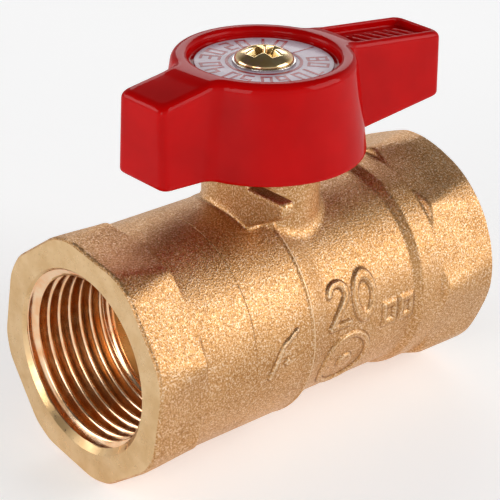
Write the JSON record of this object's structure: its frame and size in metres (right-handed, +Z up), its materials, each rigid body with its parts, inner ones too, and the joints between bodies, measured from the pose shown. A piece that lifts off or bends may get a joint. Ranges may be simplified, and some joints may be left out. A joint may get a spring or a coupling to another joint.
{
  "type": "ball valve",
  "caption": "Two-piece threaded ball valve: brass barrel with an octagonal wrench end at each port, and a winged quarter-turn handle on a stem boss.",
  "frame": {"origin": "middle of the valve's length on the stem axis, at the height of the lowest wrench corner", "axes": "+X along the pipe from the end connector's port to the body's port, +Z up the stem to the handle"},
  "size_m": [0.064, 0.0348, 0.0551],
  "materials": {
    "forged_brass": "blasted forging, machined port face and threads",
    "turned_brass": "turned",
    "chrome_plate": "polished chrome plate",
    "ptfe": "smooth white",
    "seal_rubber": "matt black",
    "red_paint": "gloss paint on a die casting",
    "printed_label": "white film printed in red",
    "plain_steel": "plain steel",
    "yellow_zinc": "yellow zinc plate on steel"
  },
  "bodies": {
    "valve_body": {"body": "forged_brass", "end_connector": "forged_brass", "joint_seal": "seal_rubber", "seat_inlet": "ptfe", "seat_outlet": "ptfe", "stem_thrust_washer": "ptfe"},
    "handle": {"handle": "red_paint", "label_disc": "printed_label", "screw_washer": "plain_steel", "handle_screw": "yellow_zinc", "stem": "turned_brass", "stem_oring_lower": "seal_rubber", "stem_oring_upper": "seal_rubber"},
    "ball": {"ball": "chrome_plate"}
  },
  "joints": [
    {"name": "handle_turn", "type": "hinge", "parent": "valve_body", "child": "handle", "pos_m": [0, 0, 0.04], "axis": [0, 0, 1], "range_deg": [-90, 0]},
    {"name": "ball_turn", "type": "hinge", "parent": "valve_body", "child": "ball", "pos_m": [0, 0, 0.01738], "axis": [0, 0, 1], "range_deg": [-90, 0]}
  ],
  "couplings": [
    {"joint": "ball_turn", "follows": "handle_turn", "ratio": 1}
  ]
}
